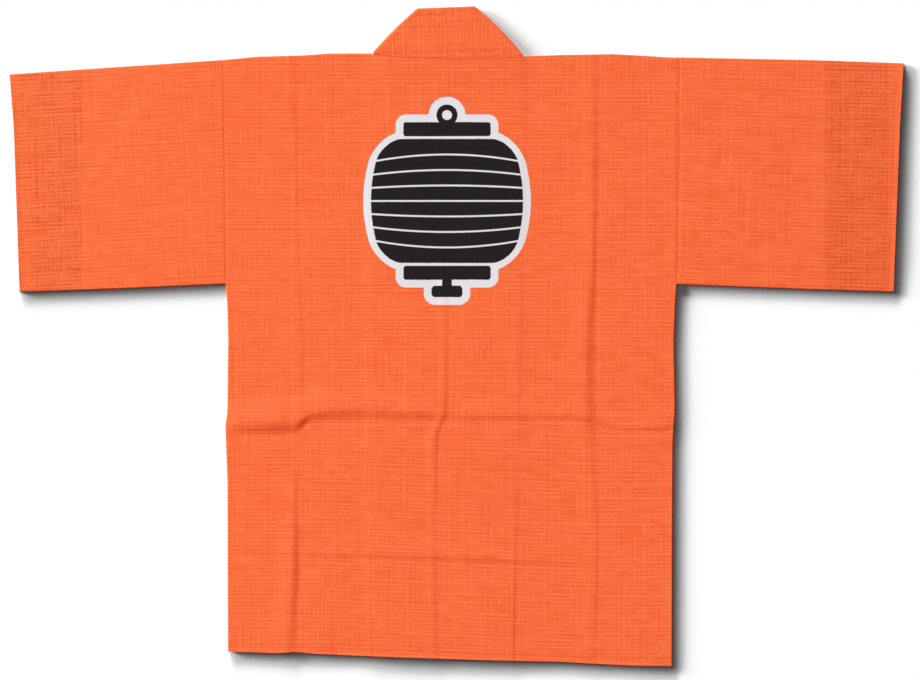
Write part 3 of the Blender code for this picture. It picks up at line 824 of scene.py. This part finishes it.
rows = fan(line_across(HEM), (0, 1, 2, 3, 4.5, 6, 7.5, 9, 11, 14))
rows += fan(crest_of(CREASES_ACROSS["low"]), TUCK_FAN)
rows += fan(crest_of(CREASES_ACROSS["waist"]), WIDE_FAN[::-1], -1)
rows += [level_line(ARMPIT - ARMPIT_TURN), level_line(ARMPIT)]
rows += fan(shifted(top_edge, -TURN_REACH), (NECK_RAMP, 36, 24, 15) + EDGE_FAN[::-1], -1)

turned = {"left": side_turn, "right": side_turn, "top": shoulder_turn}
middle = panel(filled(columns), filled(rows), back_level, turned, -1)
back = cloth_wall("back_cloth", middle, printed_cloth, body_cloth)
stitched_lines.append((middle[3:-3, 5] + np.array([0, 0, WALL / 2]), False))
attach(back, "root")
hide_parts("back")

# -------------------- sleeves
# Each sleeve is one piece of the cloth folded along its top and seamed below, set to
# the body by a straight seam. A printed band runs round the side that lies face down.

SLEEVES = {
    "left": {
        "top": (At(-634.8, 371.8), At(-478, 382.5), At(-332, 392.3)),
        "bottom": (At(-620.8, 62.8), At(-478, 67.7), At(-328, 74.4)),
        "cuff": (At(-634.8, 371.8), At(-628.8, 294), At(-620.8, 62.8)),
    },
    "right": {
        "top": (At(634.8, 387.6), At(502, 392.3), At(317, 396)),
        "bottom": (At(620.4, 63), At(502, 66.6), At(312.4, 73.8)),
        "cuff": (At(634.8, 387.6), At(629.6, 300), At(620.4, 63)),
    },
}
SLEEVE_TURN = {"left": 3.2, "right": -1.4}      # its yarns slope this many degrees
SLEEVE_RADIUS = (OVER - UNDER) / 2
SLEEVE_REACH = SLEEVE_RADIUS + WALL / 2
SLEEVE_SWELL = 0.7
ARMHOLE_GAP = 0.1
SLEEVE_CELLS = 58
SLEEVE_CELL = 5.5
HALF_TURN_CELLS = 8
CUFF_TURN = 7.0             # the stitched line of the cuff lies this far in
CUFF_DIP = 0.3

# Small crinkles in the upper layer: where each one's middle is, its bearing, how far it
# reaches along and across, and how far it stands up
CRINKLES = {
    "left": (
        (-380, 352, -32, 26, 7, 0.5),
        (-366, 338, -55, 18, 6, -0.35),
        (-470, 200, 74, 60, 22, 0.35),
        (-560, 120, 20, 44, 18, 0.3),
        (-400, 120, -68, 46, 16, 0.35),
    ),
    "right": (
        (420, 330, 60, 48, 18, 0.35),
        (520, 180, -76, 66, 22, 0.4),
        (372, 130, -40, 40, 14, 0.35),
        (585, 310, 12, 40, 16, 0.3),
    ),
}

BAND_PITCH = 30.0           # the printed band is of nested squares
BAND_LINE = 3.75
BANDS = {"left": (-628.0, -532.0), "right": (523.0, 613.0)}
GHOST_TINT = (0.82, 0.72, 0.62, 1.0)    # what ink just beneath does to the layer above
HAZE_TINT = (0.93, 0.935, 0.93, 1.0)    # and what the whole band does
GHOST_BLUR = 2.0
TOUCHING = 9.0              # the layers touch in patches of this size


def sleeve_level(side, x, y, fall, way):
    """The height of a sleeve's upper layer: fall is from its fold to its seam, and way
    from the cuff to the body."""
    level = OVER + SLEEVE_SWELL * np.sin(pi * fall) * (1 - way ** 4)
    for middle_x, middle_y, bearing, long, wide, rise in CRINKLES[side]:
        turn = radians(bearing)
        along = (x - middle_x) * cos(turn) + (y - middle_y) * sin(turn)
        off = (y - middle_y) * cos(turn) - (x - middle_x) * sin(turn)
        level = level + rise * np.exp(-(along / long) ** 2 - (off / wide) ** 2)
    edge = np.minimum(fall, 1 - fall)
    level = level + drift(x, y, "sleeve_" + side) * step(0, 0.06, edge)
    from_seam = np.abs(x - line_down(SIDES, side)(y))
    from_cuff = np.abs(x - line_down(SLEEVES[side]["cuff"])(y))
    return level - seam_groove(x, y, from_seam) - CUFF_DIP * stitched_dip(CUFF_TURN, from_cuff)


def band_mask(x, side, blur):
    """1 inside the printed band, and 0 outside it."""
    first, last = BANDS[side]
    off = abs(x - (first + last) / 2)
    return off.between((last - first) / 2 + blur, (last - first) / 2 - blur)


def squares_mask(x, y, side, blur):
    """1 on the lines of the band of nested squares, and 0 off them."""
    first, last = BANDS[side]
    columns = round((last - first) / BAND_PITCH)
    pitch = (last - first) / columns
    reach = abs((x - first).wrapped(pitch) - pitch / 2)
    reach = reach.at_least(abs(y.wrapped(pitch) - pitch / 2))
    ring = abs(reach.wrapped(2 * BAND_LINE) - BAND_LINE)
    return ring.between(BAND_LINE / 2 - blur, BAND_LINE / 2 + blur) * band_mask(x, side, blur)


def ghost_print(side):
    """The band seen faintly through the cloth, from the layer beneath."""
    def printed(x, y, cloth, slub):
        touching = noise(x / TOUCHING, y / TOUCHING, 3.3, 1.0).between(0.3, 0.62)
        open_weave = (0.5 - 2.2 * slub).at_least(0.1).at_most(1.4)
        lines = squares_mask(x, y, side, GHOST_BLUR) * (0.1 + 0.5 * touching) * open_weave
        hazy = band_mask(x, side, GHOST_BLUR).blend(cloth, HAZE_TINT, "MULTIPLY")
        return lines.blend(hazy, GHOST_TINT, "MULTIPLY")
    return printed


def inked_print(side):
    """The band in black ink."""
    def printed(x, y, cloth, slub):
        return squares_mask(x, y, side, INK_BLUR).blend(cloth, LANTERN_INK)
    return printed


def turn_points(axis_points, angles, way):
    """Middle points of the half turn between a sleeve's layers."""
    centre = axis_points.copy()
    centre[:, 2] = (OVER + UNDER) / 2
    return np.array([centre + SLEEVE_RADIUS * way * np.array([0, -sin(angle), cos(angle)])
                     for angle in angles])


for side, outward in OUTWARD.items():
    shape = SLEEVES[side]
    armhole = shifted(line_down(SIDES, side), outward * ARMHOLE_GAP)
    cuff = line_down(shape["cuff"])
    stations = fan(cuff, (0, 1.5, 3, 5, 7, 9, 11, 14), -outward)
    stations += fan(armhole, (9, 6, 4, 2.8, 1.8, 0.9, 0), outward)
    stations = filled(stations, SLEEVE_CELL, ARMPIT)
    way = np.linspace(0, 1, len(stations))
    if side == "right":
        stations.reverse()
        way = way[::-1]
    fold = shifted(line_across(shape["top"]), -SLEEVE_REACH)
    seam = shifted(line_across(shape["bottom"]), SLEEVE_REACH)
    falls = np.concatenate([[0, 0.004, 0.009, 0.016], np.linspace(0.028, 0.972, SLEEVE_CELLS),
                            [0.984, 0.991, 0.996, 1]])
    x, y = meet(stations, [blended(fold, seam, fall) for fall in falls])
    over = np.stack([x, y, sleeve_level(side, x, y, falls[None, :], way[:, None])], axis=-1)
    edge_blend = (1 - step(0, 0.02, np.minimum(falls, 1 - falls)))[None, :]
    over[..., 2] += (OVER - over[..., 2]) * edge_blend
    under = np.stack([x, y, UNDER + 0 * x], axis=-1)
    angles = [pi * cell / HALF_TURN_CELLS for cell in range(1, HALF_TURN_CELLS)]
    round_seam = turn_points(over[:, -1], angles, 1)
    round_fold = turn_points(over[:, 0], angles, -1)
    middle = np.concatenate([over.transpose(1, 0, 2), round_seam,
                             under.transpose(1, 0, 2)[::-1], round_fold])
    normals = normals_of(middle, ring=True)
    points = both_sides(middle, normals)
    numbers = numbers_of(middle)
    count = numbers.size
    outside = quads(numbers, ring=True)
    lining_side = outside[:, ::-1] + count
    rims = []
    for last, rim in enumerate((numbers[:, 0], numbers[:, -1])):
        following = np.roll(rim, -1)
        face = np.stack([rim, following, following + count, rim + count], axis=-1)
        rims.append(face if last else face[:, ::-1])
    faces = np.concatenate([outside, lining_side] + rims)
    upper_faces = (len(falls) + HALF_TURN_CELLS // 2 - 1) * (len(stations) - 1)
    lower_faces = (len(falls) + HALF_TURN_CELLS - 1) * (len(stations) - 1)
    kinds = np.full(len(faces), 2)
    kinds[:len(outside)] = 0
    kinds[upper_faces:upper_faces + lower_faces] = 1
    turn = SLEEVE_TURN[side]
    cloths = [cloth_material("sleeve_" + side + "_over", turn, printed=ghost_print(side)),
              cloth_material("sleeve_" + side + "_under", turn, printed=inked_print(side)),
              cloth_material("sleeve_" + side + "_inside", turn)]
    sleeve = mesh_piece("sleeve_" + side + "_cloth", points, faces, cloths, kinds)
    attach(sleeve, "root")
    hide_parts("sleeve_" + side)
    cuff_line = 4 if side == "left" else -5
    stitched_lines.append(((middle + normals * WALL / 2)[:, cuff_line], True))

# -------------------- collar
# The collar is one long strip of the cloth, doubled and sewn on round the neck. It
# comes up each front, folds over at a slant and lies flat behind the neck.

BAND_THICK = 2.2
BAND = BAND_THICK / 2       # middle of the collar on the table
NECK_TOP = 5.1
NECK = NECK_TOP - BAND_THICK / 2
COLLAR_RADIUS = (NECK - BAND) / 2
COLLAR_REACH = COLLAR_RADIUS + BAND_THICK / 2
COLLAR_CELLS = 20
SLANT_CELLS = 10
NECK_CELLS = 44
BAND_CELL = 24.0
EDGE_ANGLES = (67.5, 45, 22.5, 0, -22.5, -45, -67.5)
SEWN_HALF = 0.5             # half the strip's thickness where the back is sewn to it,
SEWN_REACH = 14.0           # and how far from there it reaches its full thickness
LINE_FADE = 0.2             # a pressed line fades in over this share of its length
NECK_TURN = 91.5            # behind the neck its yarns are turned by this many degrees
COLLAR_WARP = WARP_SLUB._replace(strength=1.1)

# Lines pressed across the collar behind the neck: each one's two ends, how far it stands
# up, and how far it takes to rise and to fall
PRESSED_LINES = (
    (At(-72, 443), At(46, 450.5), 0.55, 9, 3.5),
    (At(-66, 458.4), At(-12, 460.4), 0.85, 8, 3.5),
    (At(-80, 420), At(20, 417), 0.18, 10, 4),
    (At(20, 424), At(66, 419), 0.25, 9, 4),
)


def slant_axis(side, angle):
    """The axis that a slanted fold turns about, and the fold's way out. The strip runs on
    along the fold as it turns, by more towards its free edge."""
    slant = SLANTS[side]
    start = np.array([*slant.neck, 0])
    run = np.array([*slant.top, 0]) - start
    outward = np.array([run[1], -run[0], 0]) / np.linalg.norm(run) * OUTWARD[side]
    bulge = slant.bulge * 4 * shares * (1 - shares)
    runs_on = COLLAR_RADIUS * (angle - pi / 2) * shares / np.linalg.norm(run)
    return start + run * (shares + runs_on) + outward * (bulge - COLLAR_REACH), outward


def collar_section(line, normal, pressed):
    """One closed section of the doubled strip, with both its edges rounded. pressed is
    how far its sewn edge is pressed thin, from 0 to 1."""
    way = (line[-1] - line[0]) / np.linalg.norm(line[-1] - line[0])
    thinner = (BAND_THICK / 2 - SEWN_HALF) * pressed
    from_seam = np.linalg.norm(line - line[0], axis=1, keepdims=True)
    halves = BAND_THICK / 2 - thinner * step(SEWN_REACH, 0, from_seam)
    middles = line.copy()
    middles[0] += way * halves[0]
    middles[-1] -= way * halves[-1]
    lean = np.radians(EDGE_ANGLES)[:, None]
    free = middles[-1] + (normal * np.sin(lean) + way * np.cos(lean)) * halves[-1]
    sewn = middles[0] + (normal * np.sin(lean) - way * np.cos(lean)) * halves[0]
    return np.concatenate([middles + normal * halves, free,
                           (middles - normal * halves)[::-1], sewn[::-1]])


UP = np.array([0, 0, 1.0])
shares = np.concatenate([[0, 0.03], np.linspace(0.07, 0.93, COLLAR_CELLS), [0.97, 1]])[:, None]
sections = {"left": [], "right": []}
for side in OUTWARD:
    seam, free = BANDS_AT_HEM[side]
    foot_x = seam.x * (1 - shares) + free.x * shares
    foot = np.hstack([foot_x, line_across(HEM)(foot_x) + HEM_SETBACK, 0 * foot_x])
    count = round((SLANTS[side].neck.y - seam.y) / BAND_CELL)
    for climb in np.arange(count) / count:
        line = foot * (1 - climb) + slant_axis(side, 0)[0] * climb + UP * BAND
        sections[side].append(collar_section(line, -UP, 0.0))
    for angle in np.linspace(0, pi, SLANT_CELLS + 1):
        axis, outward = slant_axis(side, angle)
        normal = outward * sin(angle) - UP * cos(angle)
        line = axis + UP * (BAND + NECK) / 2 + normal * COLLAR_RADIUS
        sections[side].append(collar_section(line, normal, angle / pi))

behind_neck = []
for way in np.arange(1, NECK_CELLS) / NECK_CELLS:
    line = slant_axis("left", pi)[0] * (1 - way) + slant_axis("right", pi)[0] * way
    bow = NECK_BOW * 4 * way * (1 - way) * (1 - shares)
    line += np.hstack([0 * bow, -bow, 0 * bow + NECK])
    behind_neck.append(collar_section(line, UP, 1.0))

strip = np.array(sections["left"] + behind_neck + sections["right"][::-1])
x, y, z = strip[..., 0], strip[..., 1], strip[..., 2]
on_top = (z > NECK) * step(BAND_THICK / 2 - 0.6, BAND_THICK / 2, z - NECK)
for start, end, rise, before, after in PRESSED_LINES:
    way = np.clip((x - start.x) / (end.x - start.x), 0, 1)
    fade = step(0, LINE_FADE, way) * step(1, 1 - LINE_FADE, way)
    away = start.y * (1 - way) + end.y * way - y
    lift = step(-before, 0, away) - step(0, after, away)
    strip[..., 2] += on_top * fade * rise * lift
strip[..., 2] += on_top * drift(x, y, "collar")

surface = strip.transpose(1, 0, 2)
numbers = numbers_of(surface)
faces = [tuple(face) for face in quads(numbers, ring=True)[:, ::-1]]
lengths = np.full(surface.shape[1] - 1, 1)
lengths[:len(sections["left"]) - SLANT_CELLS // 2 - 1] = 0
lengths[1 - len(sections["right"]) + SLANT_CELLS // 2:] = 0
kinds = list(np.tile(lengths, surface.shape[0])) + [0, 0]
faces.append(tuple(numbers[:, 0]))
faces.append(tuple(numbers[::-1, -1]))
collar_cloths = [cloth_material("collar_band_cloth"),
                 cloth_material("collar_neck_cloth", NECK_TURN, warp=COLLAR_WARP)]
collar = mesh_piece("collar_cloth", surface.reshape(-1, 3), faces, collar_cloths, kinds)
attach(collar, "root")
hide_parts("collar")
stitched_lines.append((strip[:, 1], False))

# -------------------- stitches
# Cotton thread of the cloth's own colour holds the hem, the cuffs and the collar: a row
# of short machine stitches, sunk a little into the cloth.

STITCH_PITCH = 3.0
STITCH_SIZE = (2.5, 0.55, 0.4)
LOWEST_STITCH = 0.2
THREAD_SHADE = (0.80, 0.115, 0.03, 1.0)
THREAD_LIGHT = (0.96, 0.185, 0.06, 1.0)

thread, finish = plain_material("stitch_thread", roughness=0.7, specular=0.2)
start = Shade(thread.node_tree)
x, y = flat_place(start)
twist = ((x + y) * 9.0).math("SINE") * 0.25 + noise(x / 3, y / 3, 1.7, 1.0)
colour = twist.between(0.1, 0.9).blend(THREAD_SHADE, THREAD_LIGHT)
thread.node_tree.links.new(colour.socket, finish.inputs["Base Color"])

points, edges = [], []
for line, closed in stitched_lines:
    first = len(points)
    points += [(x, y, max(z, LOWEST_STITCH)) for x, y, z in line.tolist()]
    edges += [(first + index, first + index + 1) for index in range(len(line) - 1)]
    if closed:
        edges.append((first + len(line) - 1, first))
path_mesh = bpy.data.meshes.new("stitch_paths")
path_mesh.from_pydata([tuple(value * MM for value in point) for point in points], edges, [])
paths = placed("stitch_paths", path_mesh)

tree = bpy.data.node_groups.new("stitch_row", "GeometryNodeTree")
for name, way in (("Lines", "INPUT"), ("Stitches", "OUTPUT")):
    tree.interface.new_socket(name, in_out=way, socket_type="NodeSocketGeometry")
lines = Shade(tree, tree.nodes.new("NodeGroupInput").outputs["Lines"])
curves = lines.node("GeometryNodeMeshToCurve", {"Mesh": lines})
places = lines.node("GeometryNodeResampleCurve",
                    {"Curve": curves, "Length": STITCH_PITCH * MM}, mode="LENGTH")
tangent = lines.node("GeometryNodeInputTangent")
turn = lines.node("FunctionNodeAlignRotationToVector", {"Vector": tangent}, axis="X")
bead = lines.node("GeometryNodeMeshUVSphere", {"Segments": 6, "Rings": 4, "Radius": 0.5})
stitch = lines.node("GeometryNodeTransform", {
    "Geometry": bead, "Scale": [size * MM for size in STITCH_SIZE]})
row = lines.node("GeometryNodeInstanceOnPoints",
                 {"Points": places, "Instance": stitch, "Rotation": turn})
row = lines.node("GeometryNodeRealizeInstances", {"Geometry": row})
row = lines.node("GeometryNodeSetMaterial", {"Geometry": row, "Material": thread})
made = tree.nodes.new("NodeGroupOutput")
tree.links.new(row.socket, made.inputs["Stitches"])
sewing = paths.modifiers.new("sewing", "NODES")
sewing.node_group = tree
shaped = paths.evaluated_get(bpy.context.evaluated_depsgraph_get())
stitch_mesh = bpy.data.meshes.new_from_object(shaped)
stitch_mesh.name = "stitches"
stitch_mesh.shade_smooth()
stitches = placed("stitches", stitch_mesh)
bpy.data.objects.remove(paths)
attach(stitches, "root")
